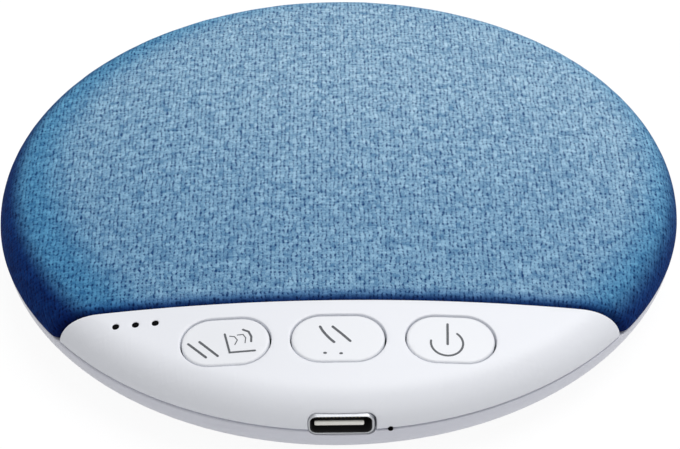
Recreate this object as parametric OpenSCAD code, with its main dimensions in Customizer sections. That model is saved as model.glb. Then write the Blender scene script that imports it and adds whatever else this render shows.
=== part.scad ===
/* [Body] */
// Radius of the body at the seam
body_r = 50; // [46:1:60]
// Height of the crown above the seam
crown_h = 9.2; // [8.8:0.1:11]
// Radius of the rounded shoulder between the crown and the seam
shoulder_r = 5.3; // [4.6:0.1:6]
// Height of the upright side between the seam and the shoulder
side_h = 0.07; // [0.05:0.01:0.3]
// Depth of the bottom shell below the seam
dish_depth = 6; // [5.7:0.1:7]
// Radius of the bottom shell's rim next to the seam
rim_r = 5.3; // [4.6:0.1:5.5]
// Rounding of the bottom shell's upper edge
rim_round = 0.25; // [0.1:0.05:0.3]
// Angle that the rim turns through before the flatter belly
rim_turn = 55; // [45:1:62]
// Wall thickness of the moulded shells
wall = 1.6; // [1.2:0.1:1.8]
// Height of the shadow gap at the seam
seam_gap = 0.3; // [0.2:0.05:0.5]

/* [Cloth and foam] */
// Distance of the straight cloth edge in from the rim
chord_in = 19; // [18.5:0.1:19.5]
// Gap between the cloth edge and the front segment
tuck_gap = 0.2; // [0.15:0.05:0.3]
// How far the cloth stands proud of the front segment
cloth_proud = 0.3; // [0.1:0.05:0.4]
// How far the cloth stands proud at the seam
rim_proud = 0.2; // [0.1:0.05:0.3]
// Thickness of the cloth
cloth_t = 0.7; // [0.5:0.05:0.8]
// Radius over which the cloth rolls into the tuck
tuck_r = 1.3; // [0.8:0.1:1.8]
// Depth of the cloth in the tuck
tuck_depth = 2.4; // [2:0.1:2.6]
// Thickness of the foam layer
foam_t = 1.7; // [1.2:0.1:1.9]
// Gap between the soft layers and what carries them
soft_gap = 0.3; // [0.25:0.05:0.35]

/* [Grille] */
// Thickness of the perforated carrier
grille_t = 1.5; // [1.3:0.1:1.6]
// Radius of each sound hole
sound_hole_r = 0.9; // [0.5:0.1:1.1]
// Distance between the rings of sound holes
sound_pitch = 3.8; // [3.4:0.1:4.2]
// Number of rings of sound holes round the middle one
sound_rings = 4; // [2:1:4]

/* [Keys] */
// Distance between neighbouring keys
key_pitch = 15.4; // [15.2:0.1:16]
// Distance of the middle key to the left of the middle line
key_shift = 0.25; // [0:0.05:0.3]
// Distance of the middle of the keys in from the rim
key_in = 12; // [11.7:0.1:12.1]
// Length of the middle key
key_l = 12.8; // [12:0.1:13.6]
// Length of the two outer keys
end_key_l = 12.1; // [11.8:0.1:13.6]
// Width of a key
key_w = 8.2; // [8:0.1:9.1]
// Gap round a key
key_gap = 0.28; // [0.2:0.02:0.35]
// Thickness of the keycap's roof and sides
key_wall = 1.2; // [0.9:0.1:1.4]
// Thickness of the retaining flange
flange_t = 0.8; // [0.6:0.1:0.9]
// Travel of a key
key_travel = 0.4; // [0.25:0.05:0.5]

/* [Indicator holes] */
// Radius of each indicator hole
dot_r = 0.48; // [0.4:0.02:0.6]
// Distance of the middle indicator hole in from the rim
dot_in = 6.06; // [5.9:0.02:6.2]
// Distance between neighbouring indicator holes
dot_pitch = 2.75; // [2.5:0.05:3]
// Distance of the indicator holes in front of the straight cloth edge
dot_front = 2.7; // [2.6:0.1:2.9]

/* [Charging inlet] */
// Outside width of the metal mouth
port_w = 8.94; // [8.8:0.02:9.1]
// Outside height of the metal mouth
port_h = 3.16; // [3.1:0.02:3.3]
// Radius of the metal mouth's outer corners
port_corner = 1.15; // [0.9:0.05:1.4]
// Wall of the metal mouth
port_wall = 0.25; // [0.2:0.01:0.35]
// Length of the metal mouth
port_l = 7.3; // [6.8:0.1:7.5]
// Clearance of the cut-out above, below and to the left of the metal mouth
port_gap = 0.1; // [0.06:0.01:0.2]
// Wider clearance of the cut-out to the right of the metal mouth
port_play = 0.3; // [0.2:0.01:0.4]
// Distance of the metal mouth from the middle line
port_x = 0.08; // [0:0.01:0.2]
// How far the metal mouth sits back from the rim
mouth_in = 0.25; // [0.1:0.05:0.4]
// Height of the middle of the mouth above the seam
port_z = 1.1; // [1:0.05:1.2]
// Width of the contact tongue
tongue_w = 6.69; // [6.4:0.01:6.9]
// How far the contact tongue stands to the left of the mouth's middle
tongue_left = 0.25; // [0:0.01:0.4]
// Thickness of the contact tongue
tongue_t = 0.7; // [0.6:0.02:0.8]
// Radius of the pinhole
pin_r = 0.38; // [0.3:0.01:0.42]
// Distance of the pinhole from the middle line
pin_x = 6.7; // [6.6:0.05:6.8]

/* [Driver] */
// Radius of the diaphragm
cone_r = 14.2; // [13.8:0.1:14.6]
// Width of the rolled surround
surround_w = 3; // [2.8:0.1:3.2]
// Width of the driver's flange outside the surround
flange_land = 2.8; // [2.6:0.1:3]
// Outer radius of the magnet cup
cup_r = 8.5; // [8.3:0.1:8.8]
// Radius of the magnet
magnet_r = 6; // [5.6:0.1:6.1]
// Height of the magnet
magnet_h = 2; // [1.8:0.1:2.1]
// Stroke of the diaphragm each way
stroke = 0.5; // [0.3:0.05:0.6]

/* [Electronics] */
// Thickness of the circuit board
board_t = 1; // [0.8:0.1:1.2]
// Length of the battery cell
cell_l = 34; // [28:0.5:34.5]
// Width of the battery cell
cell_w = 17; // [14:0.5:17.5]
// Thickness of the battery cell
cell_t = 4; // [3:0.1:4.1]
// Distance of the middle of the battery cell in from the rim
cell_in = 19.4; // [19.3:0.1:19.6]

/* [Screws and feet] */
// Distance of the case screws in from the rim
screw_in = 12.5; // [12.3:0.1:12.7]
// Distance of the front case screws behind the straight cloth edge
screw_back = 3; // [2.9:0.1:3.3]
// Radius of a case screw's shaft
screw_r = 0.95; // [0.8:0.05:1]
// Radius of a case screw's head
head_r = 1.9; // [1.7:0.05:2]
// Height of a case screw's head
head_h = 1.2; // [1:0.1:1.3]
// Radius of a foot
foot_r = 4; // [3.6:0.1:4.2]
// How far the feet stand proud of the base
foot_proud = 0.7; // [0.5:0.1:1]
// Depth of the recess that holds a foot
foot_recess = 0.8; // [0.6:0.1:0.9]

/* [Hidden] */
$fn = 96;
eps = 0.01;
far = 2 * body_r;

// Heights are written from the seam; the feet stand on the floor at zero
seam_z = foot_proud + dish_depth;
slack = 0.2;

// Crown and shoulder: two tangent arcs, and every layer is parallel to them
shoulder_x = body_r - shoulder_r;
shoulder_z = side_h;
crown_rise = crown_h - shoulder_z - shoulder_r;
crown_r = shoulder_r + (shoulder_x * shoulder_x + crown_rise * crown_rise) / (2 * crown_rise);
crown_c = crown_h - crown_r;
crown_a = atan2(shoulder_z - crown_c, shoulder_x);
// Height of a parallel layer of the crown at radius r
function dome_z(r, d = 0) =
    r < (crown_r + d) * cos(crown_a)
        ? crown_c + sqrt(pow(crown_r + d, 2) - r * r)
        : shoulder_z + sqrt(max(0, pow(shoulder_r + d, 2) - pow(min(r, body_r + d) - shoulder_x, 2)));

// Rim and belly of the bottom shell: two tangent arcs down to the flat base
belly_r = (dish_depth - rim_r * sin(rim_turn)) / (1 - sin(rim_turn));
rim_c = [body_r - rim_r, 0];
belly_c = rim_c - (belly_r - rim_r) * [cos(rim_turn), -sin(rim_turn)];
function arc(c, r, a0, a1, n) = [for (i = [0 : n]) let(a = a0 + (a1 - a0) * i / n) c + r * [cos(a), sin(a)]];

// Lip and step that locate the upper parts on the bottom shell
skirt_r = body_r - wall;
step_r = body_r - wall / 2;
lip_r = skirt_r - slack;
lip_t = 0.9;
lip_h = 1.8;

// Soft layers under the cloth
cloth_in = rim_proud - cloth_t;
foam_top = cloth_in - soft_gap;
foam_low = foam_top - foam_t;
grille_top = foam_low - soft_gap;
grille_low = grille_top - grille_t;
foam_foot = 3.4;

// Places that follow the rim
chord_y = body_r - chord_in;
key_y = body_r - key_in;
dot_y = chord_y + dot_front;
dot_x = sqrt(pow(body_r - dot_in, 2) - dot_y * dot_y);
cell_y = body_r - cell_in;
screw_y = chord_y - screw_back;
screw_x = sqrt(pow(body_r - screw_in, 2) - screw_y * screw_y);

// Front edge of the carrier and rear edge of the front segment
front_lip_y = -chord_y + tuck_gap / 2 + cloth_t + soft_gap;
front_lip_t = 1.2;
panel_y = -chord_y - tuck_gap / 2;
back_wall_t = 1.2;

// Screw joints: the front screws also clamp the ears of the front segment
joint_z = 0;
ear_t = 1.5;
column_r = 3.2;
screw_pts = [for (sx = [-1, 1], sy = [-1, 1]) [sx * screw_x, sy * screw_y]];
head_z = -3.4;
pilot_top = 3.5;

// Board, mouth and key stack
port_bottom = port_z - port_h / 2;
board_top = port_bottom;
board_low = board_top - board_t;
lip_in = lip_r - lip_t;
board_r = lip_in - 0.5;
mic_r = lip_in - 1;
board_x = dot_x + dot_pitch + 2.5;
board_tail = [19.5, 9 - chord_y];
post_x = 16;
post_y = 5 - chord_y;
post_r = 2;
board_screw_r = 0.8;
board_screw_l = 3.2;
board_screw_head = [1.5, 0.8];
mouth_y = mouth_in - body_r;
switch_h = 1.35;
switch_l = 4;
switch_w = 3.2;
plunger_r = 0.8;
plunger_bore = 0.95;
press_gap = 0.15;
plunger_top = board_top + switch_h + key_travel + press_gap;
pocket_floor = board_top + 0.25;
flange_low = 2.2;
flange_reach = 0.9;
flange_w = 4;
stem_r = 1.4;

// Driver stack, from the seat on the carrier down to the cup
seat_z = 3.6;
gasket_t = 0.6;
frame_top = seat_z - gasket_t;
frame_t = 0.8;
frame_bottom = -1.6;
ledge_r = cup_r + 1.2;
cup_top = -0.1;
cup_floor = cup_top - 0.8 - magnet_h;
cup_low = cup_floor - 0.8;
cup_wall = 1;
coil_in = magnet_r + 0.55;
coil_t = 0.55;
roll_r = surround_w / 2;
driver_r = cone_r + surround_w + flange_land;
skin_t = 0.35;
cone_edge_z = frame_top + 0.2;
cone_low_z = 1.4;

shell_white = [0.93, 0.94, 0.95];
base_white = [0.86, 0.87, 0.89];
cloth_blue = [0.42, 0.57, 0.72];

// Place and length of key i, counted from the middle one
function key_at(i) = i * key_pitch - key_shift;
function key_len(i) = i == 0 ? key_l : end_key_l;

// Section through the upper body, moved out by d
module dome_section(d) {
    intersection() {
        translate([0, crown_c]) circle(crown_r + d, $fn = 360);
        square([shoulder_x + (shoulder_r + d) * cos(crown_a), far]);
    }
    intersection() {
        translate([shoulder_x, shoulder_z]) circle(shoulder_r + d);
        translate([shoulder_x - 0.5, 0]) square([far, far]);
    }
    square([body_r + d, shoulder_z]);
}

// Section through the bottom shell, moved out by d
module dish_section(d) {
    polygon(concat(
        [[0, 0]],
        arc(rim_c, rim_r + d, 0, -rim_turn, 10),
        arc(belly_c, belly_r + d, -rim_turn - 5, -90, 7),
        [[0, -dish_depth - d]]
    ));
}

module dome_solid(d) {
    rotate_extrude($fn = 180) dome_section(d);
}

// Everything in front of the straight edge, or behind it
module in_front(y) {
    translate([-far, y - far, -far]) cube([2 * far, far, 2 * far]);
}

module behind(y) {
    translate([-far, y, -far]) cube([2 * far, far, 2 * far]);
}

// Bar with round ends along X, standing on z
module obround(l, w, h) {
    linear_extrude(h) union() {
        square([l - w, w], center = true);
        for (s = [-1, 1]) translate([s * (l - w) / 2, 0]) circle(w / 2);
    }
}

// Bar with round corners lying along Y, centred on the inlet
module mouth_bar(w, h, r, y0, y1) {
    translate([port_x, y0, port_z]) rotate([-90, 0, 0]) linear_extrude(y1 - y0) union() {
        square([w - 2 * r, h], center = true);
        square([w, h - 2 * r], center = true);
        for (sx = [-1, 1], sy = [-1, 1]) translate([sx * (w / 2 - r), sy * (h / 2 - r)]) circle(r);
    }
}

// Opening for the mouth through the rim
module mouth_cut() {
    translate([(port_play - port_gap) / 2, 0, 0])
        mouth_bar(port_w + port_gap + port_play, port_h + 2 * port_gap, port_corner + port_gap,
            -far, -body_r + 8);
}

module pinhole(y0, y1, r = pin_r) {
    translate([pin_x, y0, seam_gap / 2]) rotate([-90, 0, 0]) cylinder(r = r, h = y1 - y0);
}

module bottom_shell() {
    color(base_white) translate([0, 0, seam_z]) difference() {
        union() {
            rotate_extrude($fn = 180) difference() {
                dish_section(0);
                dish_section(-wall);
            }
            rotate_extrude($fn = 180) translate([skirt_r, -1]) square([step_r - skirt_r, 1 + seam_gap]);
            rotate_extrude($fn = 180) translate([lip_in, -1.5]) square([lip_t, 1.5 + lip_h]);
            rotate_extrude($fn = 180) translate([lip_in, -1.5])
                square([skirt_r + 0.3 - lip_in, 1.2]);
            for (p = screw_pts) translate([p[0], p[1], -dish_depth + 0.5])
                cylinder(r = column_r, h = dish_depth - 0.5 + (p[1] < 0 ? -ear_t : joint_z));
            for (s = [-1, 1]) translate([s * post_x, post_y, -dish_depth + 1])
                cylinder(r = post_r, h = dish_depth - 1 + board_low);
            intersection() {
                rotate_extrude($fn = 180) dish_section(-wall / 2);
                union() {
                    for (s = [-1, 1]) board_rib(s * 8, -body_r + 5.5, 7);
                    for (s = [-1, 1]) board_rib(s * (board_x - 3.5), -body_r + 12.5, 4);
                }
            }
            battery_tray();
        }
        rim_relief();
        for (p = screw_pts) translate([p[0], p[1], 0]) {
            translate([0, 0, -dish_depth - 1]) cylinder(r = foot_r + 0.1, h = 1 + foot_recess);
            translate([0, 0, -dish_depth - 1]) cylinder(r = head_r + slack, h = dish_depth + 1 + head_z);
            translate([0, 0, -dish_depth]) cylinder(r = screw_r + 0.15, h = 2 * dish_depth);
        }
        for (s = [-1, 1]) translate([s * post_x, post_y, board_top - board_screw_l - slack])
            cylinder(r = board_screw_r, h = far);
        mouth_cut();
        pinhole(-far, -body_r + 8);
    }
}

// What the rounding takes off the upper edge of the rim
module rim_relief() {
    rotate_extrude($fn = 180) polygon(concat(
        arc([body_r - rim_round, -rim_round], rim_round, 90, 0, 4),
        [[body_r + 1, -rim_round], [body_r + 1, 1], [body_r - rim_round, 1]]
    ));
}

// Upright rib under the board
module board_rib(x, y, l) {
    translate([x - 0.6, y, -dish_depth]) cube([1.2, l, dish_depth + board_low]);
}

// Low walls at the corners that hold the battery cell
tray_h = 2.4;
tray_t = 0.9;
tray_corner = 3;
module battery_tray() {
    translate([0, cell_y, -dish_depth + wall - 0.3]) linear_extrude(tray_h) difference() {
        square([cell_l + 2 * (slack + tray_t), cell_w + 2 * (slack + tray_t)], center = true);
        square([cell_l + 2 * slack, cell_w + 2 * slack], center = true);
        square([far, cell_w - 2 * tray_corner], center = true);
        square([cell_l - 2 * tray_corner, far], center = true);
    }
}

module foot(p) {
    color([0.75, 0.76, 0.78]) translate([p[0], p[1], 0]) rotate_extrude() {
        square([foot_r - 0.4, foot_proud + foot_recess]);
        translate([0, 0.4]) square([foot_r, foot_proud + foot_recess - 0.4]);
        translate([foot_r - 0.4, 0.4]) circle(0.4);
    }
}

module foot_front_left() {
    foot([-screw_x, -screw_y]);
}

module foot_front_right() {
    foot([screw_x, -screw_y]);
}

module foot_rear_left() {
    foot([-screw_x, screw_y]);
}

module foot_rear_right() {
    foot([screw_x, screw_y]);
}

module case_screws() {
    color("silver") for (p = screw_pts) translate([p[0], p[1], seam_z + head_z]) difference() {
        union() {
            translate([0, 0, -head_h]) cylinder(r = head_r, h = head_h);
            cylinder(r = screw_r, h = pilot_top - head_z - slack);
        }
        for (a = [0, 90]) rotate(a) translate([-1, -0.2, -head_h - eps]) cube([2, 0.4, 0.6]);
    }
}

module dome_grille() {
    color([0.2, 0.22, 0.25]) translate([0, 0, seam_z]) difference() {
        union() {
            intersection() {
                rotate_extrude($fn = 180) difference() {
                    union() {
                        dome_section(grille_top);
                        intersection() {
                            dome_section(foam_top);
                            square([far, foam_foot]);
                        }
                    }
                    dome_section(grille_low);
                    square([skirt_r, lip_h + slack]);
                    square([far, seam_gap]);
                }
                behind(front_lip_y);
            }
            intersection() {
                dome_solid(foam_low);
                translate([-far, front_lip_y, lip_h + slack]) cube([2 * far, front_lip_t, far]);
            }
            for (p = screw_pts) intersection() {
                translate([p[0], p[1], joint_z]) cylinder(r = column_r - 0.2, h = far);
                dome_solid(grille_top - 0.2);
                behind(front_lip_y);
            }
            intersection() {
                translate([0, 0, seat_z]) rotate_extrude() translate([driver_r - 1.8, 0]) square([2.4, 3]);
                dome_solid(grille_top - 0.2);
            }
            for (a = [30, 150, 270]) rotate(a) snap_hook();
        }
        for (p = screw_pts) translate([p[0], p[1], 0]) cylinder(r = screw_r, h = pilot_top);
        translate([0, 0, 1]) cylinder(r = sound_hole_r, h = far);
        for (ring = [1 : sound_rings], k = [0 : 6 * ring - 1])
            rotate(k * 60 / ring) translate([ring * sound_pitch, 0, 1])
                cylinder(r = sound_hole_r, h = far, $fn = 32);
    }
}

// Hook beside the driver whose nose carries the flange
module snap_hook() {
    translate([driver_r + 0.2, -1.5, frame_top - frame_t - 0.9]) {
        cube([1, 3, seat_z + 0.5 - frame_top + frame_t + 0.9]);
        translate([-0.8, 0, 0]) cube([1.4, 3, 0.9]);
    }
}

module foam_pad() {
    color([0.16, 0.18, 0.22]) translate([0, 0, seam_z]) intersection() {
        rotate_extrude($fn = 180) difference() {
            dome_section(foam_top);
            dome_section(foam_low);
            square([far, foam_foot + soft_gap]);
        }
        behind(front_lip_y + front_lip_t + soft_gap);
    }
}

// The cloth is a net of rays from a point behind the centre to its D-shaped edge.
// On each ray the rings crowd towards the edge, where the cloth rolls over.
rays_front = 14;
rays_round = 32;
rings = 11;
net_back = 8;
net_c = [0, net_back];
hem_h = 0.1;
// Half width of the straight edge of a D of radius r cut at y
function half_chord(r, y) = sqrt(r * r - y * y);
function d_edge(r, y) = let(w = half_chord(r, y), a0 = atan2(y, w), sweep = 180 - 2 * a0) concat(
    [for (i = [0 : rays_front - 1]) [w * sin(180 * i / rays_front - 90), y]],
    [for (i = [0 : rays_round - 1]) r * [cos(a0 + sweep * i / rays_round), sin(a0 + sweep * i / rays_round)]]
);
// Drop of the cloth next to the tuck, a quarter round of radius tuck_r
function tuck_drop(s, r) = s >= r ? 0 : r - sqrt(max(0, r * r - pow(r - s, 2)));
// Height of the cloth at a point: crown, shoulder and tuck
function cloth_z(p, d, rise, y) =
    max(hem_z(norm(p)) + hem_h, dome_z(norm(p), d) + rise - tuck_drop(p[1] - y, tuck_r));
// Lowest height of the cloth at radius r: in the tuck it ends above the lip
function hem_z(r) = r < body_r - wall / 2 ? lip_h + slack : seam_gap;
function cloth_side(d, rise, y, n) = let(r = body_r + d, edge = d_edge(r - eps, y)) concat(
    [[net_c[0], net_c[1], cloth_z(net_c, d, rise, y)]],
    [for (j = [1 : n], e = edge) let(p = net_c + (e - net_c) * sin(90 * j / n))
        [p[0], p[1], cloth_z(p, d, rise, y)]],
    [for (e = edge) [e[0], e[1], max(hem_z(norm(e)), dome_z(norm(e), d) - tuck_depth)]]
);

module fabric_cover() {
    m = rays_front + rays_round;
    out = cloth_side(rim_proud, cloth_proud - rim_proud, -chord_y + tuck_gap / 2, rings);
    inn = cloth_side(cloth_in, cloth_proud - rim_proud, -chord_y + tuck_gap / 2 + cloth_t, rings);
    k = len(out);
    // Point i of ring j, where ring 0 is the middle
    function at(j, i) = j == 0 ? 0 : 1 + (j - 1) * m + (i % m);
    // The two triangles of a patch a, b, c, d, split the other way on the left half
    function left(i) = i < rays_front / 2 || i >= rays_front + rays_round / 2;
    function patch(i, a, b, c, d) = left(i) ? [[a, b, c], [a, c, d]] : [[a, b, d], [b, c, d]];
    faces = concat(
        [for (i = [0 : m - 1]) [at(0, 0), at(1, i + 1), at(1, i)]],
        [for (j = [1 : rings], i = [0 : m - 1])
            each patch(i, at(j, i), at(j, i + 1), at(j + 1, i + 1), at(j + 1, i))],
        [for (i = [0 : m - 1]) [k + at(0, 0), k + at(1, i), k + at(1, i + 1)]],
        [for (j = [1 : rings], i = [0 : m - 1])
            each patch(i, k + at(j + 1, i), k + at(j + 1, i + 1), k + at(j, i + 1), k + at(j, i))],
        [for (i = [0 : m - 1])
            each patch(i, at(rings + 1, i), at(rings + 1, i + 1),
                k + at(rings + 1, i + 1), k + at(rings + 1, i))]
    );
    color(cloth_blue) translate([0, 0, seam_z]) polyhedron(concat(out, inn), faces, convexity = 6);
}

module control_panel() {
    color(shell_white) translate([0, 0, seam_z]) difference() {
        union() {
            intersection() {
                rotate_extrude($fn = 180) difference() {
                    dome_section(0);
                    dome_section(-wall);
                    square([far, seam_gap]);
                    square([skirt_r, lip_h + slack]);
                }
                in_front(panel_y);
            }
            difference() {
                intersection() {
                    dome_solid(-wall / 2);
                    translate([-far, panel_y - back_wall_t, board_top + 1.3])
                        cube([2 * far, back_wall_t, far]);
                }
                rotate_extrude($fn = 180) translate([lip_in - slack, 0]) square([far, lip_h + slack]);
            }
            for (s = [-1, 1]) ear(s);
        }
        for (i = [-1 : 1]) translate([key_at(i), -key_y, 0])
            obround(key_len(i) + 2 * key_gap, key_w + 2 * key_gap, far);
        for (i = [-1 : 1]) translate([-dot_x + i * dot_pitch, -dot_y, 0]) cylinder(r = dot_r, h = far);
        mouth_cut();
        pinhole(-far, -body_r + 8);
    }
}

// Ear behind the front segment that a front case screw clamps
module ear(s) {
    difference() {
        union() {
            translate([s * screw_x, -screw_y, joint_z - ear_t]) cylinder(r = column_r - 0.2, h = ear_t);
            translate([s * screw_x - 2.5, panel_y - back_wall_t, joint_z - ear_t])
                cube([5, -screw_y - panel_y + back_wall_t, ear_t]);
            translate([s * screw_x - 2.5, panel_y - back_wall_t, joint_z - ear_t]) cube([5, back_wall_t, 4]);
        }
        translate([s * screw_x, -screw_y, -far / 2]) cylinder(r = screw_r + 0.15, h = far);
    }
}

// Cap with side flanges that stop under the front segment, and a stem that meets the plunger
module keycap(i) {
    l = key_len(i);
    color(shell_white) translate([key_at(i), -key_y, seam_z]) union() {
        difference() {
            intersection() {
                translate([0, 0, flange_low]) obround(l, key_w, far);
                translate([-key_at(i), key_y, 0]) dome_solid(0);
            }
            intersection() {
                translate([0, 0, flange_low - 1]) obround(l - 2 * key_wall, key_w - 2 * key_wall, far);
                translate([-key_at(i), key_y, 0]) dome_solid(-key_wall);
            }
        }
        for (s = [-1, 1]) translate([0, 0, flange_low]) intersection() {
            obround(l + 2 * flange_reach, key_w - 0.6, flange_t);
            translate([s > 0 ? l / 2 - key_wall : -far, -flange_w / 2, 0])
                cube([far - l / 2 + key_wall, flange_w, far]);
        }
        intersection() {
            union() {
                translate([0, 0, plunger_top]) cylinder(r = stem_r, h = far);
                translate([-l / 2 + key_wall / 2, -0.4, flange_low + 0.6]) cube([l - key_wall, 0.8, far]);
            }
            translate([-key_at(i), key_y, 0]) dome_solid(-key_wall / 2);
        }
    }
}

module sound_button() {
    keycap(-1);
}

module play_button() {
    keycap(0);
}

module power_button() {
    keycap(1);
}

module plunger(i) {
    color([0.15, 0.15, 0.16]) translate([key_at(i), -key_y, seam_z])
        translate([0, 0, pocket_floor + key_travel + 0.05])
            cylinder(r = plunger_r, h = plunger_top - pocket_floor - key_travel - 0.05);
}

module sound_plunger() {
    plunger(-1);
}

module play_plunger() {
    plunger(0);
}

module power_plunger() {
    plunger(1);
}

module switch_body(i) {
    color([0.3, 0.3, 0.32]) translate([key_at(i), -key_y, seam_z + board_top]) difference() {
        union() {
            translate([-switch_l / 2, -switch_w / 2, 0]) cube([switch_l, switch_w, switch_h]);
            for (sx = [-1, 1], sy = [-1, 1]) translate([sx * (switch_l / 2 + 0.3) - 0.4, sy * 1 - 0.3, 0])
                cube([0.8, 0.6, 0.25]);
        }
        translate([0, 0, pocket_floor - board_top]) cylinder(r = plunger_bore, h = switch_h);
    }
}

module sound_switch() {
    switch_body(-1);
}

module play_switch() {
    switch_body(0);
}

module power_switch() {
    switch_body(1);
}

module main_board() {
    color([0.1, 0.35, 0.2]) translate([0, 0, seam_z + board_low]) difference() {
        linear_extrude(board_t) union() {
            intersection() {
                circle(board_r);
                translate([-board_x, -far]) square([2 * board_x, far + panel_y - back_wall_t - slack]);
            }
            translate([-board_tail[0], -board_r + 8])
                square([2 * board_tail[0], board_r - 8 + board_tail[1]]);
        }
        for (s = [-1, 1]) translate([s * post_x, post_y, -eps]) cylinder(r = board_screw_r + 0.15, h = far);
    }
}

module board_screws() {
    color("silver") for (s = [-1, 1]) translate([s * post_x, post_y, seam_z + board_top]) difference() {
        union() {
            cylinder(r = board_screw_head[0], h = board_screw_head[1]);
            translate([0, 0, -board_screw_l])
                cylinder(r = board_screw_r, h = board_screw_l + board_screw_head[1] / 2);
        }
        for (a = [0, 90]) rotate(a)
            translate([-board_screw_r, -board_screw_r / 5, board_screw_head[1] / 2 + slack / 2])
                cube([2 * board_screw_r, board_screw_r * 2 / 5, board_screw_head[1]]);
    }
}

// Packaged chip with a row of legs on two sides
module chip(x, y, l, w, h, legs) {
    color([0.12, 0.12, 0.13]) translate([x, y, seam_z + board_top]) union() {
        translate([-l / 2, -w / 2, 0.1]) cube([l, w, h - 0.1]);
        for (i = [0 : legs - 1], s = [-1, 1])
            translate([(i + 0.5 - legs / 2) * l / legs - 0.15, s * w / 2 - 0.5, 0]) cube([0.3, 1, 0.3]);
    }
}

module main_chip() {
    chip(-2, 2 - chord_y, 7, 5, 1, 8);
}

module amplifier_chip() {
    chip(9.5, 0.5 - chord_y, 4, 3, 0.9, 4);
}

module led(i) {
    color([0.9, 0.95, 0.8]) translate([-dot_x + i * dot_pitch, -dot_y, seam_z + board_top]) union() {
        translate([-0.5, -0.8, 0]) cube([1, 1.6, 0.3]);
        translate([-0.5, -0.5, 0.3]) cube([1, 1, 0.3]);
    }
}

module led_left() {
    led(-1);
}

module led_middle() {
    led(0);
}

module led_right() {
    led(1);
}

module light_guide() {
    color([0.1, 0.1, 0.12]) translate([0, 0, seam_z]) union() {
        translate([-dot_x - dot_pitch - 0.9, -dot_y - 0.7, 1.6]) cube([2 * dot_pitch + 1.8, 1.4, 1]);
        for (i = [-1 : 1]) translate([-dot_x + i * dot_pitch, -dot_y, 0]) {
            translate([0, 0, board_top + 0.9]) cylinder(r = 0.7, h = 2.3 - board_top - 0.9);
            intersection() {
                translate([0, 0, 2]) cylinder(r = dot_r - 0.06, h = far);
                translate([dot_x - i * dot_pitch, dot_y, 0]) dome_solid(-0.35);
            }
        }
    }
}

module usb_shell() {
    color("silver") translate([0, 0, seam_z]) difference() {
        mouth_bar(port_w, port_h, port_corner, mouth_y, mouth_y + port_l);
        mouth_bar(port_w - 2 * port_wall, port_h - 2 * port_wall, port_corner - port_wall,
            mouth_y - 1, mouth_y + port_l - 0.8);
    }
}

module usb_tongue() {
    base_w = tongue_w + 0.6;
    base_h = 1.9;
    base_l = 1.8;
    color([0.93, 0.91, 0.86]) translate([port_x - tongue_left, mouth_y, seam_z + port_z]) union() {
        translate([-tongue_w / 2, 0.9, -tongue_t / 2]) cube([tongue_w, port_l - 1.7, tongue_t]);
        translate([-base_w / 2, port_l - 0.8 - base_l, -base_h / 2]) cube([base_w, base_l, base_h]);
    }
}

module microphone() {
    color("silver") translate([0, 0, seam_z + board_top])
        translate([pin_x - 1.2, -mic_r + 1.6, 0]) cube([2.4, 2.2, 1]);
}

module mic_boot() {
    color([0.15, 0.15, 0.16]) translate([0, 0, seam_z]) difference() {
        translate([pin_x - 1.3, -mic_r - 0.1, board_top]) cube([2.6, 1.7, 1.4]);
        pinhole(-far, 0, pin_r + 0.05);
    }
}

tape_t = 0.3;
tape_in = 3;
module battery_cell() {
    color([0.75, 0.76, 0.78]) translate([0, cell_y, seam_z - dish_depth + wall + tape_t]) union() {
        difference() {
            translate([-cell_l / 2, 0, cell_t / 2]) rotate([0, 90, 0]) linear_extrude(cell_l) union() {
                square([cell_t, cell_w - cell_t], center = true);
                intersection() {
                    square([cell_t, cell_w], center = true);
                    for (s = [-1, 1]) translate([0, s * (cell_w / 2 - 2.2)]) circle(2.2);
                }
            }
            translate([cell_l / 2 - 1.4, -far, cell_t / 2 + 0.6]) cube([2, 2 * far, far]);
            translate([cell_l / 2 - 1.4, -far, -far]) cube([2, 2 * far, far + cell_t / 2 - 0.6]);
        }
    }
}

module battery_tape() {
    color([0.9, 0.9, 0.85]) translate([0, cell_y, seam_z - dish_depth + wall])
        translate([-cell_l / 2 + tape_in, -cell_w / 2 + tape_in, 0])
            cube([cell_l - 2 * tape_in, cell_w - 2 * tape_in, tape_t]);
}

// Round lead swept along a route of points, with its corners cut back twice
lead_r = 0.45;
function unit(v) = v / norm(v);
function cut_corners(p, n) = n == 0 ? p : cut_corners(concat(
    [p[0]],
    [for (i = [0 : len(p) - 2], t = [0.25, 0.75]) if (!(i == 0 && t < 0.5) && !(i == len(p) - 2 && t > 0.5))
        p[i] + t * (p[i + 1] - p[i])],
    [p[len(p) - 1]]
), n - 1);
function heading(p, i) = unit(p[min(i + 1, len(p) - 1)] - p[max(i - 1, 0)]);
// Side direction carried from ring to ring without twist
function carried(p, i, side) = i == len(p) ? [] :
    let(t = heading(p, i), m = unit(side - (side * t) * t)) concat([[m, cross(t, m)]], carried(p, i + 1, m));
module lead(route, side) {
    p = cut_corners(route, 2);
    n = 8;
    f = carried(p, 0, side);
    rings = len(p);
    points = [for (i = [0 : rings - 1], k = [0 : n - 1])
        p[i] + lead_r * (cos(360 * k / n) * f[i][0] + sin(360 * k / n) * f[i][1])];
    polyhedron(points, concat(
        [[for (k = [n - 1 : -1 : 0]) k]],
        [for (i = [0 : rings - 2], k = [0 : n - 1])
            [i * n + k, i * n + (k + 1) % n, (i + 1) * n + (k + 1) % n, (i + 1) * n + k]],
        [[for (k = [0 : n - 1]) (rings - 1) * n + k]]
    ));
}

plug_x = 12;
plug_in = 9.8;
plug_back = plug_in - chord_y;
plug_z = board_top + 1.1;
cell_z = -dish_depth + wall + tape_t + cell_t / 2;
cell_tab = 1.5;
lead_run = [6, 7.2];
lead_x = cell_l / 2 + slack + tray_t + lead_r + 0.15;

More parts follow.
